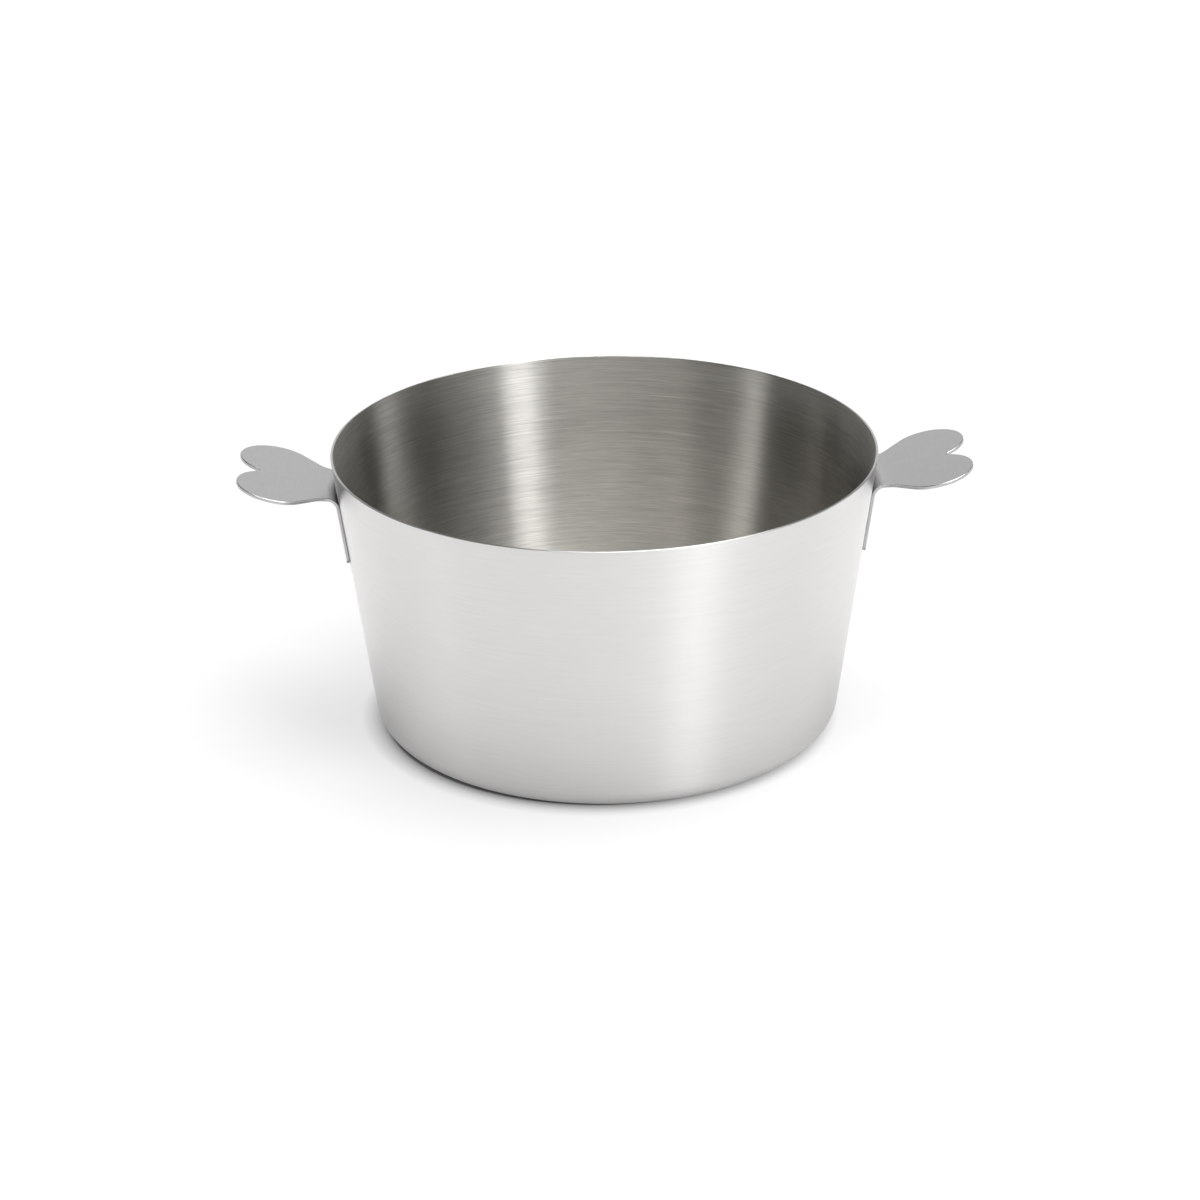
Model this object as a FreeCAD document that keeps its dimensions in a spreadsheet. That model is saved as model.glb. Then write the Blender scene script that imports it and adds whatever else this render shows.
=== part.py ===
import FreeCAD, Part
import math
import os

import Sketcher

# Charlotte mould
# A tapered round cup pressed from one blank of stainless sheet, with a flat base, a small corner
# radius and a plain cut rim, and two heart-shaped ears of thicker sheet. Each ear is cut flat, bent
# once over a round former, and spot-welded by its curved leg to the outside of the cup.
# Millimetres and degrees. The cup's axis is Z, the base stands on Z = 0, the ears lie along X.

SIZES = [
    ("mould_height", 95.0, "base to rim"),
    ("rim_radius", 90.0, "outside of the wall at the rim"),
    ("base_radius", 77.0, "outside of the wall, its line carried down to the table"),
    ("wall_gauge", 0.8, "sheet of the cup"),
    ("corner_radius", 8.0, "outside radius between base and wall"),
    ("rim_bevel", 0.2, "burr taken off both edges of the cut rim"),
    ("ear_gauge", 1.2, "sheet of the ears"),
    ("ear_drop", 11.2, "rim down to where the ear's top face would meet the wall"),
    ("ear_tilt", 13.4, "rise of the ear above level"),
    ("bend_radius", 3.5, "inside radius of the ear's bend"),
    ("seat_gap", 0.05, "weld gap between leg and wall, measured level"),
    ("leg_length", 23.0, "leg along the wall, from where the top face would meet it"),
    ("leg_corner", 2.0, "rounded corners of the leg"),
    ("neck_width", 26.6, "width of the leg and of the neck above it"),
    ("neck_radius", 8.0, "hollow between neck and flank"),
    ("flank_angle", 44.0, "flank of the heart to its centre line"),
    ("lobe_reach", 20.2, "wall to the centres of the lobes, along the ear"),
    ("lobe_spacing", 23.5, "between the centres of the two lobes"),
    ("lobe_radius", 12.4, "radius of a lobe"),
    ("notch_radius", 0.9, "rounded bottom of the notch between the lobes"),
]

# Sizes that follow from the ones above, as formulas of the same sheet
DERIVED = [
    ("wall_draft", "=atan((rim_radius - base_radius) / mould_height) / 1 deg"),
    ("ear_height", "=mould_height - ear_drop"),
    ("ear_root", "=base_radius + (rim_radius - base_radius) * ear_height / mould_height"),
    ("bend_turn", "=90 - ear_tilt - wall_draft"),
    ("stock_reach", "=lobe_reach + 2 * lobe_radius"),
    ("stock_width", "=2 * (lobe_spacing + lobe_radius)"),
]

doc = FreeCAD.newDocument("charlotte_mould")
sheet = doc.addObject("Spreadsheet::Sheet", "Sizes")


def fill_sheet():
    """Write the driving sizes and the formulas, one row each, with its alias."""
    for row, (alias, value, note) in enumerate(SIZES, start=1):
        sheet.set(f"A{row}", alias)
        sheet.set(f"B{row}", str(value))
        sheet.set(f"C{row}", note)
        sheet.setAlias(f"B{row}", alias)
    for row, (alias, formula) in enumerate(DERIVED, start=len(SIZES) + 1):
        sheet.set(f"A{row}", alias)
        sheet.set(f"B{row}", formula)
        sheet.setAlias(f"B{row}", alias)
    doc.recompute()


def size(alias):
    """The number in a cell of the sheet, for the first guess of a sketch's geometry."""
    cell = sheet.get(alias)
    return float(getattr(cell, "Value", cell))


def point(x, y):
    return FreeCAD.Vector(x, y, 0)


def new_body(label, placement):
    """An empty body at its place in the mould's frame."""
    body = doc.addObject("PartDesign::Body", label)
    body.Label = label
    body.Placement = placement
    return body


def new_sketch(body, name, role):
    """A sketch on one of the body's own origin planes."""
    plane = next(f for f in body.Origin.OriginFeatures if f.Role == role)
    sketch = body.newObject("Sketcher::SketchObject", name)
    sketch.AttachmentSupport = (plane, [""])
    sketch.MapMode = "FlatFace"
    return sketch


def add_line(sketch, start, end, construction=False):
    return sketch.addGeometry(Part.LineSegment(start, end), construction)


def add_arc(sketch, centre, radius, start_deg, end_deg):
    """An arc drawn anticlockwise from the first angle to the second."""
    circle = Part.Circle(centre, FreeCAD.Vector(0, 0, 1), radius)
    return sketch.addGeometry(Part.ArcOfCircle(circle, math.radians(start_deg), math.radians(end_deg)))


def tie(sketch, kind, *ends):
    """A constraint without a size, such as Coincident, Tangent or Horizontal."""
    return sketch.addConstraint(Sketcher.Constraint(kind, *ends))


def dimension(sketch, kind, ends, guess, expression):
    """A constraint with a size that the sheet drives."""
    index = sketch.addConstraint(Sketcher.Constraint(kind, *ends, guess))
    sketch.setExpression(f"Constraints[{index}]", expression)
    return index


START, END, CENTRE = 1, 2, 3
ORIGIN = (-1, 1)
X_AXIS = -1


def draw_chain(sketch, corners):
    """A closed chain of lines through the corners. Returns the lines, in order."""
    count = len(corners)
    lines = [add_line(sketch, corners[i], corners[(i + 1) % count]) for i in range(count)]
    for i, line in enumerate(lines):
        tie(sketch, "Coincident", line, END, lines[(i + 1) % count], START)
    return lines


def draw_section(sketch):
    """Half section of the cup: base, corner, wall, cut rim, and the same inside, a gauge away."""
    draft = math.radians(size("wall_draft"))
    gauge, radius, top = size("wall_gauge"), size("corner_radius"), size("mould_height")
    across = gauge / math.cos(draft)
    centre_x = size("base_radius") + radius * math.tan(draft) - radius / math.cos(draft)
    centre = point(centre_x, radius)
    end_deg = -size("wall_draft")

    def on_corner(r):
        return point(centre_x + r * math.cos(draft), radius - r * math.sin(draft))

    rim_out, rim_in = point(size("rim_radius"), top), point(size("rim_radius") - across, top)
    base = add_line(sketch, point(0, 0), point(centre_x, 0))
    corner = add_arc(sketch, centre, radius, -90, end_deg)
    wall = add_line(sketch, on_corner(radius), rim_out)
    rim = add_line(sketch, rim_out, rim_in)
    inner_wall = add_line(sketch, rim_in, on_corner(radius - gauge))
    inner_corner = add_arc(sketch, centre, radius - gauge, -90, end_deg)
    floor = add_line(sketch, point(centre_x, gauge), point(0, gauge))
    axis = add_line(sketch, point(0, gauge), point(0, 0))
    foot = sketch.addGeometry(Part.Point(point(size("base_radius"), 0)), True)

    tie(sketch, "Coincident", base, START, *ORIGIN)
    tie(sketch, "Coincident", axis, END, *ORIGIN)
    tie(sketch, "Horizontal", base)
    tie(sketch, "Vertical", axis)
    tie(sketch, "Tangent", base, END, corner, START)
    tie(sketch, "Tangent", corner, END, wall, START)
    tie(sketch, "Coincident", wall, END, rim, START)
    tie(sketch, "Horizontal", rim)
    tie(sketch, "Coincident", rim, END, inner_wall, START)
    tie(sketch, "Parallel", inner_wall, wall)
    tie(sketch, "Tangent", inner_wall, END, inner_corner, END)
    tie(sketch, "Tangent", inner_corner, START, floor, START)
    tie(sketch, "Horizontal", floor)
    tie(sketch, "Coincident", floor, END, axis, START)
    tie(sketch, "PointOnObject", foot, START, X_AXIS)
    tie(sketch, "PointOnObject", foot, START, wall)
    dimension(sketch, "DistanceX", (*ORIGIN, foot, START), size("base_radius"), "Sizes.base_radius")
    dimension(sketch, "DistanceX", (*ORIGIN, wall, END), size("rim_radius"), "Sizes.rim_radius")
    dimension(sketch, "DistanceY", (*ORIGIN, wall, END), top, "Sizes.mould_height")
    dimension(sketch, "Radius", (corner,), radius, "Sizes.corner_radius")
    dimension(sketch, "Radius", (inner_corner,), radius - gauge, "Sizes.corner_radius - Sizes.wall_gauge")
    dimension(sketch, "DistanceY", (axis, END, axis, START), gauge, "Sizes.wall_gauge")
    dimension(sketch, "Distance", (inner_wall, START, wall), gauge, "Sizes.wall_gauge")


def edges_at(shape, test):
    """Names of the edges that pass a test."""
    return [f"Edge{i}" for i, edge in enumerate(shape.Edges, start=1) if test(edge)]


def make_cup():
    """The drawn cup: the section turned about the axis, then the burr taken off the rim."""
    body = new_body("mould_body", FreeCAD.Placement())
    section = new_sketch(body, "cup_section", "XZ_Plane")
    draw_section(section)
    turned = body.newObject("PartDesign::Revolution", "cup_turned")
    turned.Profile = section
    turned.ReferenceAxis = (section, ["V_Axis"])
    turned.Angle = 360
    doc.recompute()

    top = size("mould_height")
    rim_edges = edges_at(turned.Shape, lambda e: e.BoundBox.ZMin > top - 0.01 and len(e.Vertexes) == 1)
    rim = body.newObject("PartDesign::Chamfer", "rim_deburred")
    rim.Base = (turned, rim_edges)
    rim.setExpression("Size", "Sizes.rim_bevel")
    return body


def draw_strip(sketch):
    """Side view of the bent sheet, with the ear's top face on the X axis and the origin where that
    face would meet the wall: plate, bend and leg, one gauge throughout. The line that the sheet's
    curve is struck from stands square to the plate, as far away as the cup's own axis."""
    gauge, inner, turn = size("ear_gauge"), size("bend_radius"), math.radians(size("bend_turn"))
    outer, reach, strike = inner + gauge, size("stock_reach"), size("ear_root")
    down = point(-math.cos(turn), -math.sin(turn))
    across = point(math.sin(turn), -math.cos(turn))
    centre = point(outer * math.tan(turn / 2), -outer)
    leg_end = size("leg_length") * down

    def on_bend(radius):
        return centre - radius * across

    plate_top = add_line(sketch, point(reach, 0), point(centre.x, 0))
    bend_out = add_arc(sketch, centre, outer, 90, 90 + size("bend_turn"))
    leg_in = add_line(sketch, on_bend(outer), leg_end)
    leg_foot = add_line(sketch, leg_end, leg_end + gauge * across)
    leg_out = add_line(sketch, leg_end + gauge * across, on_bend(inner))
    bend_in = add_arc(sketch, centre, inner, 90, 90 + size("bend_turn"))
    plate_under = add_line(sketch, point(centre.x, -gauge), point(reach, -gauge))
    plate_end = add_line(sketch, point(reach, -gauge), point(reach, 0))
    corner = sketch.addGeometry(Part.Point(point(0, 0)), True)
    axis = add_line(sketch, point(-strike, 0), point(-strike, -leg_end.Length), construction=True)

    tie(sketch, "Tangent", plate_top, END, bend_out, START)
    tie(sketch, "Tangent", bend_out, END, leg_in, START)
    tie(sketch, "Coincident", leg_in, END, leg_foot, START)
    tie(sketch, "Perpendicular", leg_foot, leg_in)
    tie(sketch, "Coincident", leg_foot, END, leg_out, START)
    tie(sketch, "Parallel", leg_out, leg_in)
    tie(sketch, "Tangent", leg_out, END, bend_in, END)
    tie(sketch, "Tangent", bend_in, START, plate_under, START)
    tie(sketch, "Coincident", plate_under, END, plate_end, START)
    tie(sketch, "Coincident", plate_end, END, plate_top, START)
    tie(sketch, "Vertical", plate_end)
    tie(sketch, "Horizontal", plate_under)
    tie(sketch, "PointOnObject", plate_top, START, X_AXIS)
    tie(sketch, "PointOnObject", plate_top, END, X_AXIS)
    tie(sketch, "Coincident", corner, START, *ORIGIN)
    tie(sketch, "PointOnObject", corner, START, leg_in)
    tie(sketch, "PointOnObject", axis, START, X_AXIS)
    tie(sketch, "Vertical", axis)
    dimension(sketch, "Radius", (bend_out,), outer, "Sizes.bend_radius + Sizes.ear_gauge")
    dimension(sketch, "Radius", (bend_in,), inner, "Sizes.bend_radius")
    dimension(sketch, "Angle", (X_AXIS, START, leg_in, END), turn, "Sizes.bend_turn")
    dimension(sketch, "DistanceY", (plate_end, START, plate_end, END), gauge, "Sizes.ear_gauge")
    dimension(sketch, "Distance", (leg_foot, START, leg_foot, END), gauge, "Sizes.ear_gauge")
    dimension(sketch, "DistanceX", (*ORIGIN, plate_top, START), reach, "Sizes.stock_reach")
    dimension(sketch, "Distance", (*ORIGIN, leg_in, END), leg_end.Length, "Sizes.leg_length")
    dimension(sketch, "DistanceX", (axis, START, *ORIGIN), strike, "Sizes.ear_root")
    dimension(sketch, "DistanceY", (axis, END, axis, START), leg_end.Length, "Sizes.leg_length")


def draw_heart(sketch):
    """The ear's outline, seen square to its top face, inside a frame that covers the bent sheet.
    From the wall outward on each side: neck, hollow, flank and lobe. A small arc joins the lobes."""
    half, reach, lobe = size("lobe_spacing") / 2, size("lobe_reach"), size("lobe_radius")
    neck, hollow, notch = size("neck_width") / 2, size("neck_radius"), size("notch_radius")
    flank = math.radians(size("flank_angle"))
    square = point(-math.sin(flank), math.cos(flank))
    along = point(math.cos(flank), math.sin(flank))

    lobe_centre = point(reach, half)
    shoulder = lobe_centre + lobe * square
    slide = (shoulder.y + hollow * square.y - neck - hollow) / along.y
    hollow_centre = shoulder + hollow * square - slide * along
    flank_foot = hollow_centre - hollow * square
    notch_centre = point(reach + math.sqrt((lobe + notch) ** 2 - half ** 2), 0)
    notch_deg = math.degrees(math.asin(half / (lobe + notch)))
    square_deg = 90 + size("flank_angle")
    back, frame = -size("lobe_reach"), size("stock_width")

    def mirror(p):
        return point(p.x, -p.y)

    upper_neck = add_line(sketch, point(back, neck), point(hollow_centre.x, neck))
    upper_hollow = add_arc(sketch, hollow_centre, hollow, -90, square_deg - 180)
    upper_flank = add_line(sketch, flank_foot, shoulder)
    upper_lobe = add_arc(sketch, lobe_centre, lobe, -notch_deg, square_deg)
    notch_arc = add_arc(sketch, notch_centre, notch, 180 - notch_deg, 180 + notch_deg)
    lower_lobe = add_arc(sketch, mirror(lobe_centre), lobe, -square_deg, notch_deg)
    lower_flank = add_line(sketch, mirror(shoulder), mirror(flank_foot))
    lower_hollow = add_arc(sketch, mirror(hollow_centre), hollow, 180 - square_deg, 90)
    lower_neck = add_line(sketch, point(hollow_centre.x, -neck), point(back, -neck))
    back_line = add_line(sketch, point(back, -neck), point(back, neck))

    tie(sketch, "Tangent", upper_neck, END, upper_hollow, START)
    tie(sketch, "Tangent", upper_hollow, END, upper_flank, START)
    tie(sketch, "Tangent", upper_flank, END, upper_lobe, END)
    tie(sketch, "Tangent", upper_lobe, START, notch_arc, START)
    tie(sketch, "Tangent", notch_arc, END, lower_lobe, END)
    tie(sketch, "Tangent", lower_lobe, START, lower_flank, START)
    tie(sketch, "Tangent", lower_flank, END, lower_hollow, START)
    tie(sketch, "Tangent", lower_hollow, END, lower_neck, START)
    tie(sketch, "Coincident", lower_neck, END, back_line, START)
    tie(sketch, "Coincident", back_line, END, upper_neck, START)
    tie(sketch, "Horizontal", upper_neck)
    tie(sketch, "Horizontal", lower_neck)
    tie(sketch, "Equal", upper_lobe, lower_lobe)
    tie(sketch, "Equal", upper_hollow, lower_hollow)
    tie(sketch, "Symmetric", upper_lobe, CENTRE, lower_lobe, CENTRE, X_AXIS)
    tie(sketch, "Symmetric", back_line, END, back_line, START, X_AXIS)
    dimension(sketch, "Radius", (upper_lobe,), lobe, "Sizes.lobe_radius")
    dimension(sketch, "Radius", (upper_hollow,), hollow, "Sizes.neck_radius")
    dimension(sketch, "Radius", (notch_arc,), notch, "Sizes.notch_radius")
    dimension(sketch, "DistanceX", (*ORIGIN, upper_lobe, CENTRE), reach, "Sizes.lobe_reach")
    dimension(sketch, "DistanceY", (lower_lobe, CENTRE, upper_lobe, CENTRE), 2 * half, "Sizes.lobe_spacing")
    dimension(sketch, "DistanceY", (back_line, START, back_line, END), 2 * neck, "Sizes.neck_width")
    dimension(sketch, "DistanceX", (back_line, START, *ORIGIN), -back, "Sizes.lobe_reach")
    dimension(sketch, "Angle", (X_AXIS, START, upper_flank, START), flank, "Sizes.flank_angle")
    dimension(sketch, "Angle", (lower_flank, END, X_AXIS, START), flank, "Sizes.flank_angle")

    corners = [point(-frame, -frame), point(frame, -frame), point(frame, frame), point(-frame, frame)]
    front, right, rear, left = draw_chain(sketch, corners)
    tie(sketch, "Horizontal", front)
    tie(sketch, "Horizontal", rear)
    tie(sketch, "Vertical", right)
    tie(sketch, "Vertical", left)
    tie(sketch, "Symmetric", front, START, rear, START, *ORIGIN)
    dimension(sketch, "DistanceX", (*ORIGIN, right, END), frame, "Sizes.stock_width")
    dimension(sketch, "DistanceY", (*ORIGIN, right, END), frame, "Sizes.stock_width")


def ear_placement(turn):
    """The ear's own frame stands at its root on the wall, a weld gap out, leaning up by the tilt,
    then turned with the ear about the cup's axis."""
    lean = FreeCAD.Rotation(FreeCAD.Vector(0, -1, 0), size("ear_tilt"))
    root = FreeCAD.Vector(size("ear_root") + size("seat_gap"), 0, size("ear_height"))
    about_axis = FreeCAD.Placement(point(0, 0), FreeCAD.Rotation(FreeCAD.Vector(0, 0, 1), turn))
    return about_axis.multiply(FreeCAD.Placement(root, lean))


def make_ear(label, turn):
    """One heart-shaped ear. The bent sheet is swept round the former's axis, which keeps the plate
    flat and gives the bend and the leg the curve of the wall. The outline is then cut through the
    sheet and the corners of the leg rounded."""
    body = new_body(label, ear_placement(turn))
    side = new_sketch(body, label + "_side", "XZ_Plane")
    draw_strip(side)
    bent = body.newObject("PartDesign::Revolution", label + "_bent")
    bent.Profile = side
    bent.ReferenceAxis = (side, ["Axis0"])
    bent.Midplane = True
    bent.setExpression("Angle", "2 * atan(Sizes.stock_width / (Sizes.ear_root + Sizes.stock_reach))")

    outline = new_sketch(body, label + "_outline", "XY_Plane")
    draw_heart(outline)
    cut = body.newObject("PartDesign::Pocket", label + "_heart")
    cut.Profile = outline
    cut.Midplane = True
    cut.setExpression("Length", "4 * Sizes.leg_length")
    doc.recompute()

    half, low, gauge = size("neck_width") / 2, -size("leg_length") / 2, size("ear_gauge")

    def is_leg_corner(edge):
        """A short edge across the sheet, at the side of the leg and near its end."""
        ends = [vertex.Point for vertex in edge.Vertexes]
        return edge.Length < 2 * gauge and all(abs(abs(p.y) - half) < 0.01 and p.z < low for p in ends)

    rounded = body.newObject("PartDesign::Fillet", label + "_leg_corners")
    rounded.Base = (cut, edges_at(cut.Shape, is_leg_corner))
    rounded.setExpression("Radius", "Sizes.leg_corner")
    return body


def check_document():
    """Every object recomputed without a fault, and every body one closed solid."""
    for item in doc.Objects:
        if "Invalid" in item.State or "Error" in item.State:
            raise RuntimeError(f"{item.Name} did not recompute: {item.State}")
    for body in bodies:
        shape = body.Shape
        if shape.isNull() or not shape.isValid() or len(shape.Solids) != 1:
            raise RuntimeError(f"{body.Label} is not one valid solid")


fill_sheet()
bodies = [make_cup(), make_ear("handle_right", 0.0), make_ear("handle_left", 180.0)]
doc.recompute()
check_document()

os.makedirs("parts", exist_ok=True)
for body in bodies:
    body.Shape.exportStep(os.path.join("parts", body.Label + ".step"))
    box = body.Shape.optimalBoundingBox()
    print(f"{body.Label}: volume {body.Shape.Volume:.1f} mm3, "
          f"x {box.XMin:.2f} to {box.XMax:.2f}, y {box.YMin:.2f} to {box.YMax:.2f}, "
          f"z {box.ZMin:.2f} to {box.ZMax:.2f}")
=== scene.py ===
# %% [markdown]
# A charlotte mould in brushed steel
# The mould is a tapered round cup, pressed from one sheet of stainless steel, with two heart-shaped
# ears bent from a thicker sheet and welded to its wall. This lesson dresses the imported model: it makes
# each piece again with smooth rounds, gives it brushed steel, and lights it on a white table.
# Everything is in metres in the model's own frame: the cup's axis is Z, the table is Z = 0, and the
# ears lie along X.

# %% The frame
import math

import bmesh
import bpy
from mathutils import Matrix, Vector


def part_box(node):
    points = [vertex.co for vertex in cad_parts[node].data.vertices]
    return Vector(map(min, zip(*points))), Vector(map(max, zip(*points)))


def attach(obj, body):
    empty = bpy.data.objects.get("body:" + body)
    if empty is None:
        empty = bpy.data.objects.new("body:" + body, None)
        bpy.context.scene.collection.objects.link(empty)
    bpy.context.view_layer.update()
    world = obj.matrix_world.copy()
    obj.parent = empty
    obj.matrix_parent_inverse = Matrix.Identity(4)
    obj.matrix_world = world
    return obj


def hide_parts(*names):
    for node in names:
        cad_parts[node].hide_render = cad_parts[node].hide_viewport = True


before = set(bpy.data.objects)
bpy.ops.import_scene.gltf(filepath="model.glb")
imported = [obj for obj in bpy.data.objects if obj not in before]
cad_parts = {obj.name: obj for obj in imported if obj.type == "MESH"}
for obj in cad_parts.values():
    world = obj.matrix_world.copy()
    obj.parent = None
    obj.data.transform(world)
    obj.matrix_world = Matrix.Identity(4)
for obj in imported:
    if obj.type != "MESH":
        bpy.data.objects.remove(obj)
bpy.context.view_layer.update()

print("nodes", sorted(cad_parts))

# %% [markdown]
# The camera
# The lens was worked out from the photograph: the ellipses of rim and base give its distance, height
# and small roll. The mould was stood a little askew, so the camera goes round it by that much instead.
# A pixel of the 1200 by 1200 picture and the distance to the point it shows fix where the camera is.

# %% Camera
PICTURE_WIDTH = 1200
LENS_PIXELS = 3400
SENSOR_WIDTH = 36
FARTHEST_SEEN = 20
LOOK_DOWN = math.radians(23.57)
ROLL = math.radians(0.67)
MOULD_ASKEW = math.radians(1.94)
BASE_PIXEL = (607.1, 707.6)
BASE_DEPTH = 1.1566


def make_camera():
    """Stand the camera where the middle of the mould's base falls on its pixel."""
    data = bpy.data.cameras.new("camera")
    data.sensor_width = SENSOR_WIDTH
    data.lens = LENS_PIXELS / PICTURE_WIDTH * SENSOR_WIDTH
    data.clip_end = FARTHEST_SEEN
    tilt = Matrix.Rotation(math.pi / 2 - LOOK_DOWN, 3, "X")
    turn = Matrix.Rotation(-MOULD_ASKEW, 3, "Z") @ tilt @ Matrix.Rotation(-ROLL, 3, "Z")
    across = (BASE_PIXEL[0] - PICTURE_WIDTH / 2) / LENS_PIXELS
    down = (BASE_PIXEL[1] - PICTURE_WIDTH / 2) / LENS_PIXELS
    base_seen = BASE_DEPTH * Vector((across, -down, -1))
    camera = bpy.data.objects.new("camera", data)
    camera.matrix_world = Matrix.Translation(-(turn @ base_seen)) @ turn.to_4x4()
    bpy.context.scene.collection.objects.link(camera)
    bpy.context.scene.camera = camera
    return camera


camera = make_camera()
print("camera at", tuple(round(c, 3) for c in camera.matrix_world.translation))

# %% [markdown]
# Drawing a section
# A pressed or turned piece starts as the line that a lathe tool would follow. Each step here takes the
# last vertex and pulls it on: straight with an extrusion, or round a centre with a spin. The section
# is drawn in the XZ plane, so a straight run is given by its X and Z.

# %% Section tools
def start_line(bm, x, z):
    return bm.verts.new((x, 0, z))


def run_to(bm, vert, x, z):
    """Pull the last vertex on to a new place, which leaves an edge behind it."""
    pulled = bmesh.ops.extrude_vert_indiv(bm, verts=[vert])["verts"][0]
    pulled.co = (x, 0, z)
    return pulled


def round_to(bm, vert, centre_x, centre_z, degrees, steps):
    """Swing the last vertex round a centre, anticlockwise as seen from the front."""
    swung = bmesh.ops.spin(bm, geom=[vert], cent=(centre_x, 0, centre_z), axis=(0, -1, 0),
                           angle=math.radians(degrees), steps=steps)
    return swung["geom_last"][0]


# %% [markdown]
# The cup's section
# The real cup is one gauge of sheet all over: a flat base, a small corner radius, a straight tapered
# wall, and a rim that is cut and deburred. It could be a cylinder with a solidified wall, but a full
# section drawn round both skins gives the true corner inside and out and the tiny rounds of the rim,
# which catch the light. Short extra runs beside each round keep the long faces flat in smooth shading.

# %% Cup section
RIM_RADIUS = 0.090
FOOT_RADIUS = 0.077
HEIGHT = 0.095
WALL_GAUGE = 0.0008
CORNER_RADIUS = 0.008
RIM_ROUND = 0.0002
SUPPORT = 0.0006
CORNER_STEPS = 14
RIM_STEPS = 5

wall_lean = math.atan2(RIM_RADIUS - FOOT_RADIUS, HEIGHT)
wall_up = Vector((math.sin(wall_lean), math.cos(wall_lean)))
wall_out = Vector((math.cos(wall_lean), -math.sin(wall_lean)))
corner_degrees = 90 - math.degrees(wall_lean)
corner_x = FOOT_RADIUS + CORNER_RADIUS * (math.tan(wall_lean) - 1 / math.cos(wall_lean))
print("wall leans out by", round(math.degrees(wall_lean), 2), "degrees")


def draw_cup_section(bm):
    """From the middle of the base outside, over the rim, to the middle of the floor inside."""
    corner = Vector((corner_x, CORNER_RADIUS))
    inner_radius = CORNER_RADIUS - WALL_GAUGE
    rim_x = RIM_RADIUS - RIM_ROUND * math.tan(wall_lean) - RIM_ROUND / wall_out.x
    outer_rim = Vector((rim_x, HEIGHT - RIM_ROUND))
    inner_rim = outer_rim - Vector(((WALL_GAUGE - 2 * RIM_ROUND) / wall_out.x, 0))

    tip = start_line(bm, 0, 0)
    tip = run_to(bm, tip, corner.x - SUPPORT, 0)
    tip = run_to(bm, tip, corner.x, 0)
    tip = round_to(bm, tip, *corner, corner_degrees, CORNER_STEPS)
    tip = run_to(bm, tip, *(corner + CORNER_RADIUS * wall_out + SUPPORT * wall_up))
    tip = run_to(bm, tip, *(outer_rim + RIM_ROUND * wall_out - SUPPORT * wall_up))
    tip = run_to(bm, tip, *(outer_rim + RIM_ROUND * wall_out))
    tip = round_to(bm, tip, *outer_rim, 90 + math.degrees(wall_lean), RIM_STEPS)
    tip = run_to(bm, tip, inner_rim.x, HEIGHT)
    tip = round_to(bm, tip, *inner_rim, corner_degrees, RIM_STEPS)
    tip = run_to(bm, tip, *(inner_rim - RIM_ROUND * wall_out - SUPPORT * wall_up))
    tip = run_to(bm, tip, *(corner + inner_radius * wall_out + SUPPORT * wall_up))
    tip = run_to(bm, tip, *(corner + inner_radius * wall_out))
    tip = round_to(bm, tip, *corner, -corner_degrees, CORNER_STEPS)
    tip = run_to(bm, tip, corner.x - SUPPORT, WALL_GAUGE)
    run_to(bm, tip, 0, WALL_GAUGE)


# %% [markdown]
# The cup
# The press draws the real cup from a disc. A loft would need a ring at each height, so here the one
# section is spun once round the axis. Its two ends lie on the axis, and merging the doubles there
# closes the base and the floor inside. The two skins are polished differently, so the faces that look
# inward are marked for a second finish.

# %% Cup
ROUND_STEPS = 360
SAME_PLACE = 1e-6
TURNED_TO_AXIS = -0.05
TURNED_UP = 0.5


def looks_inward(face):
    """Whether a face is on the inner skin: it looks at the axis, or it is the floor inside."""
    middle = face.calc_center_median()
    outward = Vector((middle.x, middle.y, 0)).normalized()
    is_floor = face.normal.z > TURNED_UP and middle.z < HEIGHT / 2
    return face.normal.dot(outward) < TURNED_TO_AXIS or is_floor


def keep_mesh(bm, name):
    """Turn the bmesh into a smooth object at the origin that rides with the mould."""
    mesh = bpy.data.meshes.new(name)
    bm.to_mesh(mesh)
    bm.free()
    mesh.shade_smooth()
    piece = bpy.data.objects.new(name, mesh)
    bpy.context.scene.collection.objects.link(piece)
    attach(piece, "root")
    return piece


def make_cup():
    """Spin the section, close it, and mark the inner skin."""
    bm = bmesh.new()
    draw_cup_section(bm)
    section = bm.verts[:] + bm.edges[:]
    bmesh.ops.spin(bm, geom=section, cent=(0, 0, 0), axis=(0, 0, 1), angle=math.tau,
                   steps=ROUND_STEPS, use_merge=True)
    bmesh.ops.remove_doubles(bm, verts=bm.verts[:], dist=SAME_PLACE)
    bmesh.ops.recalc_face_normals(bm, faces=bm.faces[:])
    for face in bm.faces:
        face.material_index = int(looks_inward(face))
    print("cup faces", len(bm.faces), "open edges", sum(edge.is_boundary for edge in bm.edges))
    return keep_mesh(bm, "cup")


cup = make_cup()
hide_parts("mould_body")

# %% [markdown]
# The ear's outline
# An ear is a flat heart with a tongue that is bent down over a round former, so the tongue hugs the
# wall. Half of the heart's outline has four stretches that meet without a kink: a hollow beside the
# neck, a straight flank, a lobe and the notch. It could be traced point by point, but with arcs only a
# few sizes are needed, and the centres follow from them. Here the plate lies level, with its root at
# the origin and its tip toward X.

# %% Ear sizes
EAR_GAUGE = 0.0012
EAR_DROP = 0.0112
EAR_TILT = math.radians(13.4)
BEND_RADIUS = 0.0035
WELD_GAP = 0.00005
LEG_LENGTH = 0.023
LEG_CORNER = 0.002
NECK_HALF = 0.0133
NECK_RADIUS = 0.008
FLANK_ANGLE = 44
LOBE_REACH = 0.0202
LOBE_HALF = 0.01175
LOBE_RADIUS = 0.0124
NOTCH_RADIUS = 0.0009

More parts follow.
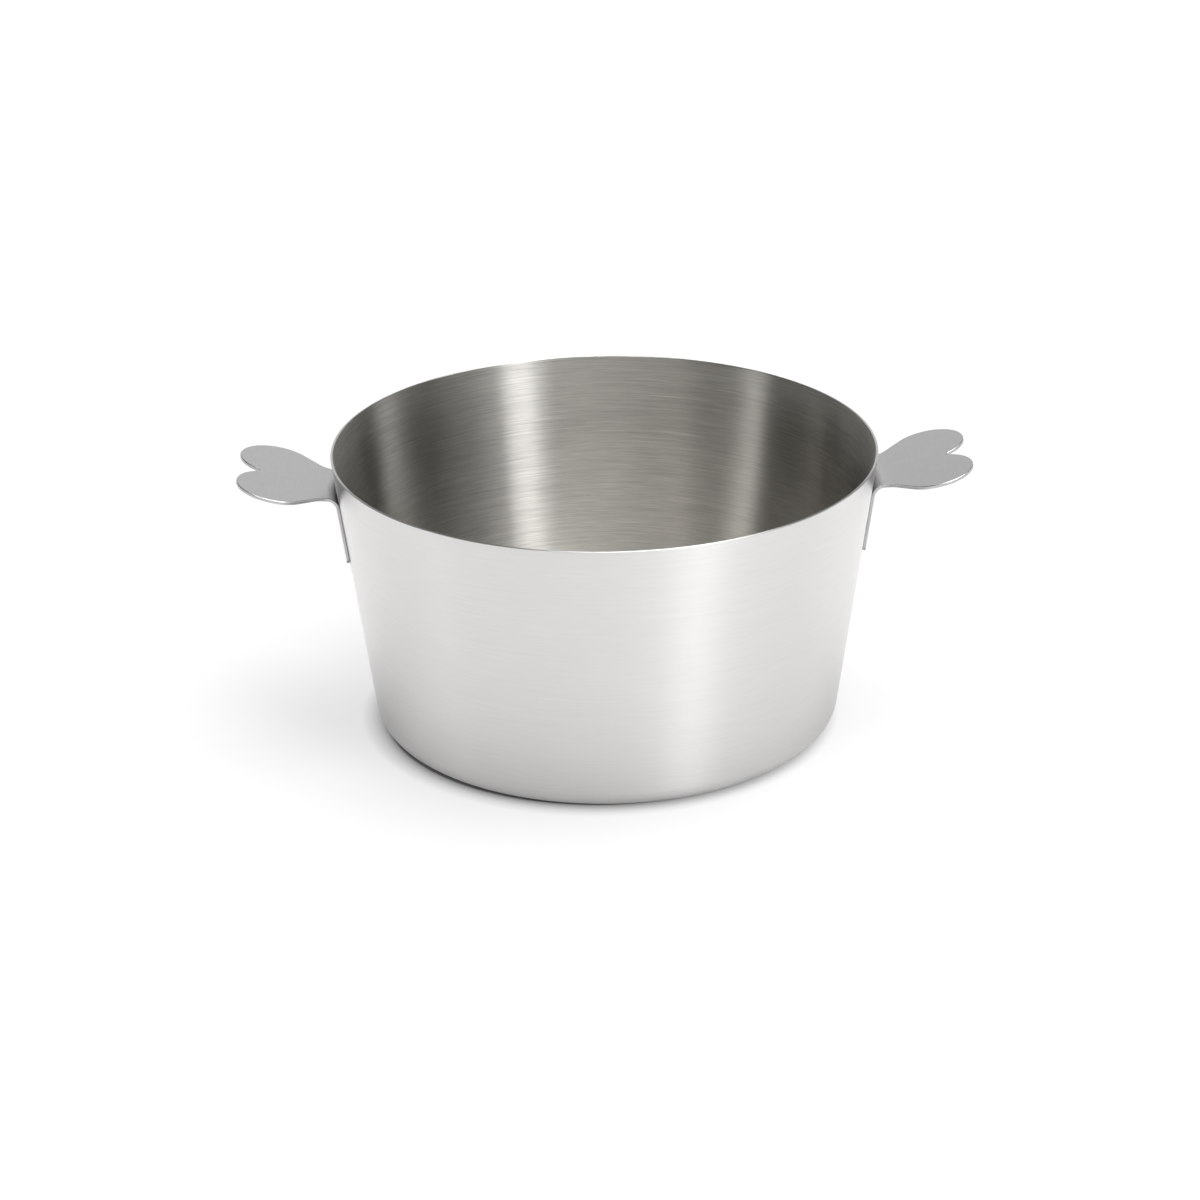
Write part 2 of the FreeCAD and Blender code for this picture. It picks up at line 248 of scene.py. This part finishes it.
ear_height = HEIGHT - EAR_DROP
ear_root = FOOT_RADIUS + (RIM_RADIUS - FOOT_RADIUS) * ear_height / HEIGHT
bend_degrees = 90 - math.degrees(EAR_TILT + wall_lean)
bend_outer = BEND_RADIUS + EAR_GAUGE
bend_x = bend_outer * math.tan(math.radians(bend_degrees) / 2)
leg_down = Vector((-math.cos(math.radians(bend_degrees)), -math.sin(math.radians(bend_degrees))))

flank = math.radians(FLANK_ANGLE)
along_flank = Vector((math.cos(flank), math.sin(flank), 0))
off_flank = Vector((-math.sin(flank), math.cos(flank), 0))
lobe = Vector((LOBE_REACH, LOBE_HALF, 0))
shoulder = lobe + LOBE_RADIUS * off_flank
flank_rise = shoulder.y + NECK_RADIUS * off_flank.y - NECK_HALF - NECK_RADIUS
hollow = shoulder + NECK_RADIUS * off_flank - flank_rise / math.sin(flank) * along_flank
notch = Vector((LOBE_REACH + math.sqrt((LOBE_RADIUS + NOTCH_RADIUS) ** 2 - LOBE_HALF ** 2), 0, 0))
notch_degrees = math.degrees(math.asin(LOBE_HALF / (LOBE_RADIUS + NOTCH_RADIUS)))
print("ear leaves the wall at", [round(c * 1000, 1) for c in (ear_root, ear_height)], "mm")

# %% [markdown]
# The tongue
# The curved tongue is the hard part, because its leg has to fit the round wall. Its side view, leg and
# bend, is drawn as a line and swung about an upright line square to the plate, as the former is round.
# The sweep is a little too wide, and two planes trim it to the width of the neck. Where the hollow
# beside the neck begins, the trimmed edge is let out again to follow it.

# %% Tongue
LEG_SHARES = (0.7, 0.4, 0.15, 0)
BEND_STEPS = 16
NECK_STEPS = 24
TONGUE_MARGIN = math.radians(2.5)
CORNER_ROOM = 1.05
ON_PLANE = 1e-7
SLIDE_PASSES = 4


def draw_side_view(bm):
    """The leg from its foot up, the bend, and a short run of plate."""
    bend_foot = bend_x * leg_down
    tip = start_line(bm, *(LEG_LENGTH * leg_down))
    for share in LEG_SHARES:
        tip = run_to(bm, tip, *(bend_foot + share * (LEG_LENGTH - bend_x) * leg_down))
    tip = round_to(bm, tip, bend_x, -bend_outer, -bend_degrees, BEND_STEPS)
    run_to(bm, tip, bend_x + SUPPORT, 0)


def on_tongue_edge(vert):
    return abs(abs(vert.co.y) - NECK_HALF) < SAME_PLACE


def widen_to_hollow(vert):
    """Slide an edge vertex of the bend round the former, out to the hollow between neck and flank."""
    radius = math.hypot(vert.co.x + ear_root, vert.co.y)
    side = math.copysign(1, vert.co.y)
    for _ in range(SLIDE_PASSES):
        vert.co.y = side * (hollow.y - math.sqrt(NECK_RADIUS ** 2 - (vert.co.x - hollow.x) ** 2))
        vert.co.x = math.sqrt(radius ** 2 - vert.co.y ** 2) - ear_root


def make_tongue(bm):
    """Sweep the side view about the former's axis, trim it to the neck and let it out at the hollow."""
    draw_side_view(bm)
    former = (-ear_root, 0, 0)
    foot_radius = ear_root + LEG_LENGTH * leg_down.x
    middle = math.asin((NECK_HALF - CORNER_ROOM * LEG_CORNER) / foot_radius)
    start = Matrix.Rotation(-middle - TONGUE_MARGIN, 3, "Z")
    bmesh.ops.rotate(bm, verts=bm.verts[:], cent=former, matrix=start)
    line = bm.verts[:] + bm.edges[:]
    for angle, steps in ((TONGUE_MARGIN, 1), (2 * middle, NECK_STEPS), (TONGUE_MARGIN, 1)):
        line = bmesh.ops.spin(bm, geom=line, cent=former, axis=(0, 0, 1), angle=angle,
                              steps=steps)["geom_last"]
    for side_y in (-NECK_HALF, NECK_HALF):
        everything = bm.verts[:] + bm.edges[:] + bm.faces[:]
        bmesh.ops.bisect_plane(bm, geom=everything, dist=ON_PLANE, plane_co=(0, side_y, 0),
                               plane_no=(0, side_y, 0), clear_outer=True)
    for vert in bm.verts:
        if on_tongue_edge(vert) and vert.co.x > hollow.x:
            widen_to_hollow(vert)


# %% [markdown]
# The leg's corners and the heart
# The leg's two lower corners are rounded by a bevel of their vertices. The heart could be circles
# joined by Booleans, but drawing on from the tongue's last edges keeps neck and plate one skin: each
# half is pulled and swung from the tongue's corner to the bottom of the notch, and one face fills it.

# %% Heart
HOLLOW_STEPS = 8
LOBE_STEPS = 48
NOTCH_STEPS = 6
LEG_CORNER_STEPS = 6


def round_leg_corners(bm):
    foot_z = min(vert.co.z for vert in bm.verts)
    corners = [vert for vert in bm.verts if on_tongue_edge(vert)
               and vert.co.z < foot_z + SUPPORT / 2 and len(vert.link_edges) == 2]
    bmesh.ops.bevel(bm, geom=corners, offset=LEG_CORNER, offset_type="OFFSET", affect="VERTICES",
                    segments=LEG_CORNER_STEPS, profile=0.5, material=-1)


def draw_half_heart(bm, vert, side):
    """Half of the outline, from the tongue's corner to the bottom of the notch."""
    def swing(last, centre, degrees, steps):
        swung = bmesh.ops.spin(bm, geom=[last], cent=(centre.x, side * centre.y, 0),
                               axis=(0, 0, side), angle=math.radians(degrees), steps=steps)
        return swung["geom_last"][0]

    begun = math.degrees(math.asin((vert.co.x - hollow.x) / NECK_RADIUS))
    tip = swing(vert, hollow, FLANK_ANGLE - begun, HOLLOW_STEPS)
    tip = bmesh.ops.extrude_vert_indiv(bm, verts=[tip])["verts"][0]
    tip.co = (shoulder.x, side * shoulder.y, 0)
    tip = swing(tip, lobe, -(90 + FLANK_ANGLE + notch_degrees), LOBE_STEPS)
    swing(tip, notch, notch_degrees, NOTCH_STEPS)


def add_heart(bm):
    """Draw both halves on from the tongue's front edge and fill them with one face."""
    former = Vector((-ear_root, 0))
    reach = ear_root + bend_x + SUPPORT / 2
    front = [edge for edge in bm.edges if edge.is_boundary
             and all((vert.co.xy - former).length > reach for vert in edge.verts)]
    ends = [vert for edge in front for vert in edge.verts
            if sum(other in front for other in vert.link_edges) == 1]
    for vert in ends:
        draw_half_heart(bm, vert, math.copysign(1, vert.co.y))
    bmesh.ops.remove_doubles(bm, verts=bm.verts[:], dist=SAME_PLACE)
    outline = [edge for edge in bm.edges if edge.is_wire]
    front = [edge for edge in front if edge.is_valid]
    print("heart drawn from", len(ends), "ends, with", len(outline), "edges")
    bmesh.ops.edgeloop_fill(bm, edges=front + outline)


# %% [markdown]
# The two ears
# The skin gets the gauge of the sheet, away from the wall, and the cut faces are marked for a rougher,
# darker steel, whose darkness is a painted dark line along the edges. Then the ear is tilted up as it is
# on the mould and moved out to the wall, and the left one is the same ear turned by half a turn. Real
# ears are tumbled, which takes the edges off. A bevel modifier does that: it finds the sharp edges by
# their angle.

# %% Ears
EDGE_ROUND = 0.00028
EDGE_STEPS = 3
SHARP_EDGE = math.radians(50)


def thicken(bm):
    """Give the skin its gauge and mark the cut faces."""
    bmesh.ops.recalc_face_normals(bm, faces=bm.faces[:])
    plate = max(bm.faces, key=lambda face: face.calc_area())
    if plate.normal.z < 0:
        bmesh.ops.reverse_faces(bm, faces=bm.faces[:])
    skin = set(bm.verts)
    bmesh.ops.solidify(bm, geom=bm.faces[:], thickness=EAR_GAUGE)
    for face in bm.faces:
        face.material_index = len({vert in skin for vert in face.verts}) - 1
    bmesh.ops.recalc_face_normals(bm, faces=bm.faces[:])


def tumble(ear):
    """Round the edges with a bevel modifier."""
    tumbled = ear.modifiers.new("tumbled_edges", "BEVEL")
    tumbled.width = EDGE_ROUND
    tumbled.use_clamp_overlap = False
    tumbled.segments = EDGE_STEPS
    tumbled.limit_method = "ANGLE"
    tumbled.angle_limit = SHARP_EDGE
    tumbled.harden_normals = True
    tumbled.material = 0


def make_ear(name, turn):
    """One ear, turned round the cup's axis to its side of the wall."""
    bm = bmesh.new()
    make_tongue(bm)
    round_leg_corners(bm)
    add_heart(bm)
    thicken(bm)
    to_wall = Matrix.Translation((ear_root + WELD_GAP, 0, ear_height))
    bm.transform(Matrix.Rotation(turn, 4, "Z") @ to_wall @ Matrix.Rotation(-EAR_TILT, 4, "Y"))
    print(name, "faces", len(bm.faces), "open edges", sum(edge.is_boundary for edge in bm.edges))
    ear = keep_mesh(bm, name)
    tumble(ear)
    return ear


right_ear = make_ear("right_ear", 0)
left_ear = make_ear("left_ear", math.pi)
for ear, node in ((right_ear, "handle_right"), (left_ear, "handle_left")):
    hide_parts(node)
    low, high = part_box(node)
    own = [ear.matrix_world @ Vector(corner) for corner in ear.bound_box]
    print(node, [round(c * 1000, 2) for c in (*low, *high)])
    print(ear.name, [round(pick(corner[axis] for corner in own) * 1000, 2)
                     for pick in (min, max) for axis in range(3)])

# %% [markdown]
# A small language for finishes
# A finish is a sum of patterns, and sums read best as sums. Value wraps the output of a node, so that
# 1 - mask or height * 0.5 adds the Math node by itself. Finish holds one material and makes any other
# node from its type, its settings and its inputs.

# %% Shader expressions
class Value:
    """A number that changes over the surface."""

    def __init__(self, tree, socket):
        self.tree = tree
        self.socket = socket

    def math(self, operation, *numbers):
        made = self.tree.nodes.new("ShaderNodeMath")
        made.operation = operation
        for socket, number in zip(made.inputs, numbers):
            if isinstance(number, Value):
                self.tree.links.new(number.socket, socket)
            else:
                socket.default_value = number
        return Value(self.tree, made.outputs[0])

    def __add__(self, other):
        return self.math("ADD", self, other)

    def __sub__(self, other):
        return self.math("SUBTRACT", self, other)

    def __rsub__(self, other):
        return self.math("SUBTRACT", other, self)

    def __mul__(self, other):
        return self.math("MULTIPLY", self, other)

    def __truediv__(self, other):
        return self.math("DIVIDE", self, other)

    def __pow__(self, other):
        return self.math("POWER", self, other)

    __radd__ = __add__
    __rmul__ = __mul__

    def between(self, low, high):
        """0 up to low, 1 from high on, and a straight climb between."""
        climb = (self - low) / (high - low)
        return self.math("MINIMUM", self.math("MAXIMUM", climb, 0.0), 1.0)


class Finish:
    """One material, or the world, and its nodes."""

    def __init__(self, tree):
        self.tree = tree
        tree.nodes.clear()

    def node(self, kind, settings=None, inputs=None, output=0):
        """Make a node, set it, feed it, and give back one of its outputs, by number or by name."""
        made = self.tree.nodes.new(kind)
        for name, value in (settings or {}).items():
            setattr(made, name, value)
        for name, value in (inputs or {}).items():
            if isinstance(value, Value):
                self.tree.links.new(value.socket, made.inputs[name])
            else:
                made.inputs[name].default_value = value
        return Value(self.tree, made.outputs[output]) if made.outputs else None

    def vector_maths(self, operation, inputs, output="Vector"):
        return self.node("ShaderNodeVectorMath", {"operation": operation}, inputs, output)

    def place(self):
        """The point of the surface in the object's own metres."""
        return self.node("ShaderNodeTexCoord", output="Object")

    def component(self, vector, axis):
        return self.node("ShaderNodeSeparateXYZ", inputs={0: vector}, output=axis)


def new_finish(name):
    """A new material and the finish that fills it."""
    material = bpy.data.materials.new(name)
    material.use_nodes = True
    return material, Finish(material.node_tree)


# %% [markdown]
# Scratches
# The cup was polished as it turned, so its scratches run round it. The ones that the eye can still tell
# apart are noise, stretched round the axis. The noise gets the direction from the axis, which changes
# slowly, and at a far finer scale the radius plus the height, which grows all the way from the middle
# of the base to the rim. Four sizes of noise are used: fine scratches, longer ones, clouds, and a few
# stray long marks.

# %% Scratches
FINE_SCRATCH = {"length": 0.1, "fineness": 3600, "seed": 0.0, "detail": 2.0}
LONG_SCRATCH = {"length": 0.35, "fineness": 2000, "seed": 7.3, "detail": 2.0}
CLOUD = {"length": 0.3, "fineness": 110, "seed": 3.1, "detail": 3.0}
STRAY_SCRATCH = {"length": 0.35, "fineness": 620, "seed": 11.9, "detail": 1.0}
STRAY_ABOVE = (0.66, 0.74)


def noise(finish, vector, detail, roughness):
    return finish.node("ShaderNodeTexNoise", {"noise_dimensions": "3D"},
                       {"Vector": vector, "Scale": 1.0, "Detail": detail, "Roughness": roughness})


def polar(finish):
    """The direction from the axis as X and Y, the radius and the height of a point."""
    place = finish.place()
    flat = finish.vector_maths("MULTIPLY", {0: place, 1: (1, 1, 0)})
    radius = finish.vector_maths("LENGTH", {0: flat}, output="Value")
    facing = finish.vector_maths("NORMALIZE", {0: flat})
    around = (finish.component(facing, "X"), finish.component(facing, "Y"))
    return around, radius, finish.component(place, "Z")


def scratches(finish, around, along, length, fineness, seed, detail):
    """Noise that is long round the axis and fine along the wall."""
    x, y = around
    vector = finish.node("ShaderNodeCombineXYZ",
                         inputs={0: x / length, 1: y / length, 2: along * fineness + seed})
    return noise(finish, vector, detail=detail, roughness=0.6)


# %% [markdown]
# Brushed steel
# Light spreads across the scratches and not along them, so what the wall mirrors is drawn out into
# upright bands. Anisotropy does that for the sheen. By itself it spreads light round the axis, so a
# quarter turn sends it up and down the wall. Outside, the scratches were polished nearly away. Inside
# they stand out, the steel is a little warmer, and its colour is darker just under the rim.

# %% Brushed steel
SCRATCH_DEPTH = 0.00002
CLOUD_SHADE = 0.2
STRAY_SHADE = 0.1
GRAIN_ROUGHNESS = 0.1
GRAIN_BUMP = 0.15
QUARTER_TURN = 0.25
DARKER_UNDER_RIM = (HEIGHT - 0.006, HEIGHT - 0.003)


def steel_surface(finish, tint, shade, relief, strength, inputs):
    """Metal of one tint, darker or lighter by its shade, with its relief felt as a faint bump."""
    colour = finish.vector_maths("SCALE", {0: tint, "Scale": shade})
    bump = finish.node("ShaderNodeBump", inputs={
        "Strength": strength, "Distance": SCRATCH_DEPTH, "Height": relief})
    surface = finish.node("ShaderNodeBsdfPrincipled", inputs={
        "Base Color": colour, "Metallic": 1.0, "Normal": bump, **inputs})
    finish.node("ShaderNodeOutputMaterial", inputs={"Surface": surface})


def brushed_steel(name, tint, roughness, anisotropy, depth, under_rim):
    """Steel brushed round the axis. Depth is how far the scratches stand out."""
    material, finish = new_finish(name)
    around, radius, height = polar(finish)
    along = height + radius
    fine = scratches(finish, around, along, **FINE_SCRATCH)
    long = scratches(finish, around, along, **LONG_SCRATCH)
    cloud = scratches(finish, around, along, **CLOUD)
    stray = scratches(finish, around, along, **STRAY_SCRATCH).between(*STRAY_ABOVE)
    grain = fine * 0.5 + long * 0.5
    marks = (grain - 0.5) + (cloud - 0.5) * CLOUD_SHADE + stray * STRAY_SHADE
    # The colour is made darker over the top few millimetres under the rim, by the given amount.
    darker_top = height.between(*DARKER_UNDER_RIM) * under_rim
    shade = 1.0 + depth * marks - darker_top
    steel_surface(finish, tint, shade, grain * depth, GRAIN_BUMP, {
        "Roughness": roughness + (grain - 0.5) * depth * GRAIN_ROUGHNESS,
        "Anisotropic": anisotropy, "Anisotropic Rotation": QUARTER_TURN})
    return material


wall_outside = brushed_steel("wall_outside", tint=(0.688, 0.683, 0.676), roughness=0.375,
                             anisotropy=0.93, depth=0.16, under_rim=0.0)
wall_inside = brushed_steel("wall_inside", tint=(0.681, 0.667, 0.636), roughness=0.31,
                            anisotropy=1.0, depth=1.0, under_rim=0.04)
for steel in (wall_outside, wall_inside):
    cup.data.materials.append(steel)
    print(steel.name, "has", len(steel.node_tree.nodes), "nodes")

# %% [markdown]
# Satin steel
# The ears are sheet as it comes from the roll, with a soft even sheen, fine streaks along the roll and a
# faint mottle. Their cut edges are rougher, because shears leave them rough and tumbling only softens
# them. They also get a darker steel with its streaks upright, which paints a dark line of shade along
# every edge.

# %% Satin steel
MOTTLE_SCALE = (220, 220, 220)
SATIN_SHADE = 0.3
SATIN_ROUGHNESS = 0.15
SATIN_BUMP = 0.1


def satin_steel(name, tint, roughness, streak_scale):
    """Steel with fine streaks and a faint mottle."""
    material, finish = new_finish(name)
    place = finish.place()
    streaked = finish.node("ShaderNodeMapping", inputs={"Vector": place, "Scale": streak_scale})
    mottled = finish.node("ShaderNodeMapping", inputs={"Vector": place, "Scale": MOTTLE_SCALE})
    streaks = noise(finish, streaked, detail=3.0, roughness=0.6)
    mottle = noise(finish, mottled, detail=4.0, roughness=0.7)
    grain = streaks * 0.5 + mottle * 0.5
    shade = 1.0 + (grain - 0.5) * SATIN_SHADE
    steel_surface(finish, tint, shade, grain, SATIN_BUMP, {
        "Roughness": roughness + (grain - 0.5) * SATIN_ROUGHNESS})
    return material


satin_sheet = satin_steel("satin_sheet", tint=(0.66, 0.66, 0.66), roughness=0.3,
                          streak_scale=(1500, 150, 1500))
# Painted shade: the cut edges get a darker tint, a dark line along every edge, as well as a rougher
# finish.
rough_edge_painted_dark = satin_steel("rough_edge_painted_dark", tint=(0.42, 0.42, 0.42), roughness=0.35,
                       streak_scale=(1500, 1500, 600))
for ear in (right_ear, left_ear):
    ear.data.materials.append(satin_sheet)
    ear.data.materials.append(rough_edge_painted_dark)
    print(ear.name, "finishes", [steel.name for steel in ear.data.materials])

# %% [markdown]
# The table
# The real table is white and sweeps up into a white background, so light reaches it from all round and
# the mould's shadow is faint. A plain matt top would show a much darker shadow. So the camera sees a
# dim matt top, which takes the shadow, with a glow laid over it, and the steel sees a weaker glow.
# Each glow fades toward the mould as painted shade, which leaves a painted contact shadow, the thin dark
# line where the foot meets the table, and a painted reflection of shade, the darker foot of the wall.

# %% Table
TABLE_RADIUS = 3.0
TABLE_SIDES = 64
TABLE_GAP = 0.0001
TABLE_WHITE = 0.66
TABLE_SHOWN = 0.26
TABLE_GLOW = 0.66
TABLE_REFLECTED = 0.3
# The camera's glow fades to a painted contact shadow round a centre a little to the left of the mould's,
# away from the light.
PAINTED_SHADOW_CENTRE = (-0.0024, 0.0004, 0)
PAINTED_CONTACT_SHADOW = (0.0725, 0.081)
PAINTED_SHADOW_CLIMB = 0.5
# The steel's glow fades to a painted reflection of shade round a centre to the right, which darkens the
# foot of the wall, most on the right.
PAINTED_REFLECTION_CENTRE = (0.027, 0, 0)
PAINTED_REFLECTED_SHADOW = (0.057, 0.155)


def shown_rays(finish):
    """1 for what the camera sees, also through glass, and 1 for what shows in the steel."""
    rays = finish.node("ShaderNodeLightPath").socket.node.outputs
    shown = Value(finish.tree, rays["Is Camera Ray"]) + Value(finish.tree, rays["Is Transmission Ray"])
    return shown, Value(finish.tree, rays["Is Glossy Ray"])


def away_from(finish, centre, near_and_far):
    """0 near a centre of the table, 1 far from it, and a climb between the two distances."""
    distance = finish.vector_maths("DISTANCE", {0: finish.place(), 1: centre}, output="Value")
    return distance.between(*near_and_far)


def matt(finish, grey):
    return finish.node("ShaderNodeBsdfDiffuse", inputs={"Color": (grey, grey, grey, 1)})


def white_table():
    """The table's finish: what lights the room, what the camera sees, and the two glows, which fade in
    painted shadow near the mould.
    """
    material, finish = new_finish("white_table")
    shown, glossy = shown_rays(finish)
    # Painted shade: the camera's glow dies out in a painted contact shadow round the foot, and the
    # steel's glow in a painted reflection of shade.
    past_painted_contact_shadow = away_from(finish, PAINTED_SHADOW_CENTRE, PAINTED_CONTACT_SHADOW) ** PAINTED_SHADOW_CLIMB
    past_painted_reflected_shadow = away_from(finish, PAINTED_REFLECTION_CENTRE, PAINTED_REFLECTED_SHADOW)
    glow = shown * TABLE_GLOW * past_painted_contact_shadow + glossy * TABLE_REFLECTED * past_painted_reflected_shadow
    top = finish.node("ShaderNodeMixShader", inputs={
        0: shown, 1: matt(finish, TABLE_WHITE), 2: matt(finish, TABLE_SHOWN)})
    light = finish.node("ShaderNodeEmission", inputs={"Color": glow})
    surface = finish.node("ShaderNodeAddShader", inputs={0: top, 1: light})
    finish.node("ShaderNodeOutputMaterial", inputs={"Surface": surface})
    return material


def make_table():
    """A round table top just under the mould, so large that its edge isn't seen."""
    bm = bmesh.new()
    bmesh.ops.create_circle(bm, cap_ends=True, radius=TABLE_RADIUS, segments=TABLE_SIDES)
    mesh = bpy.data.meshes.new("table")
    bm.to_mesh(mesh)
    bm.free()
    mesh.materials.append(white_table())
    table = bpy.data.objects.new("table", mesh)
    table.location.z = -TABLE_GAP
    bpy.context.scene.collection.objects.link(table)
    print("table", TABLE_RADIUS * 2, "m across,", TABLE_GAP * 1000, "mm under the base")


make_table()

# %% [markdown]
# The studio as the steel sees it
# Brushed steel shows little of itself and much of what is around it, so the room is laid out as the
# steel sees it. The sweep is white, higher at the back than in front, and past its top the steel sees
# a dark room, which gives the inside its contrast. The camera sees plain white, and all other light
# from the room is one even level that fills the shadows.

# %% Studio
AMBIENT = 0.4
SWEEP_WHITE = 0.8
SWEEP_FRONT = 0.08
SWEEP_BACK = 0.8
SWEEP_CURVE = 6.0
SWEEP_SOFT = 0.12


def make_studio():
    """White for the camera, the sweep and the dark room for the steel, one level for the rest."""
    world = bpy.data.worlds.new("studio")
    world.use_nodes = True
    bpy.context.scene.world = world
    finish = Finish(world.node_tree)
    shown, glossy = shown_rays(finish)
    direction = finish.node("ShaderNodeTexCoord", output="Generated")
    back = finish.component(direction, "Y").between(0.0, 1.0)
    sweep_top = SWEEP_FRONT + back ** SWEEP_CURVE * SWEEP_BACK
    past_top = (finish.component(direction, "Z") - sweep_top).between(0.0, SWEEP_SOFT)
    steel_sees = SWEEP_WHITE * (1 - past_top)
    strength = shown + glossy * steel_sees + (1 - shown - glossy) * AMBIENT
    light = finish.node("ShaderNodeBackground", inputs={"Color": strength})
    finish.node("ShaderNodeOutputWorld", inputs={"Surface": light})
    print("studio has", len(world.node_tree.nodes), "nodes")


make_studio()

# %% [markdown]
# The lamps
# A wide soft lamp hangs overhead. A sun with a wide angle stands for it, because it gives the whole
# table the same light. A tall strip at the right of the camera makes the bright band on the wall and,
# after several bounces, the bands inside. A weak strip beside it softens the band's right edge, and
# two more fill the sides of the inside. The Standard view shows the levels as they are.

# %% Lamps
STRIP_DISTANCE = 1.6
SUN_DISTANCE = 2


def heading(azimuth, elevation):
    """The direction toward a lamp. Azimuth goes from the camera's side to the right."""
    turned = math.radians(azimuth)
    raised = math.radians(elevation)
    return Vector((math.sin(turned) * math.cos(raised), -math.cos(turned) * math.cos(raised),
                   math.sin(raised)))


def hang_lamp(name, data, place):
    """Stand a lamp at a place given from the middle of the mould, and turn it to the mould."""
    lamp = bpy.data.objects.new(name, data)
    turned = place.to_track_quat("Z", "Y").to_matrix().to_4x4()
    lamp.matrix_world = Matrix.Translation(place + Vector((0, 0, HEIGHT / 2))) @ turned
    bpy.context.scene.collection.objects.link(lamp)
    print(name, "at", tuple(round(c, 2) for c in place), "energy", round(data.energy, 2))


def add_strip(name, azimuth, elevation, width, height, brightness):
    """A softbox. Brightness is how white its face looks, next to a white background of 1."""
    data = bpy.data.lights.new(name, "AREA")
    data.shape = "RECTANGLE"
    data.size = width
    data.size_y = height
    data.energy = brightness * math.pi * width * height
    hang_lamp(name, data, STRIP_DISTANCE * heading(azimuth, elevation))


def add_overhead(name, azimuth, elevation, spread, brightness):
    """A round soft light from above, so far away that the whole table gets the same."""
    data = bpy.data.lights.new(name, "SUN")
    data.angle = math.radians(spread)
    data.energy = brightness * math.pi * math.sin(data.angle / 2) ** 2
    hang_lamp(name, data, SUN_DISTANCE * heading(azimuth, elevation))


add_overhead("overhead_light", azimuth=98, elevation=78, spread=50, brightness=5.7)
add_strip("front_strip", azimuth=38.3, elevation=40, width=0.38, height=1.2, brightness=5.45)
add_strip("front_strip_edge", azimuth=50, elevation=36, width=0.34, height=1.1, brightness=0.35)
add_strip("left_strip", azimuth=284, elevation=27, width=0.22, height=0.8, brightness=1.3)
add_strip("rear_right_strip", azimuth=111, elevation=24, width=0.36, height=0.6, brightness=1.2)

bpy.context.scene.view_settings.view_transform = "Standard"
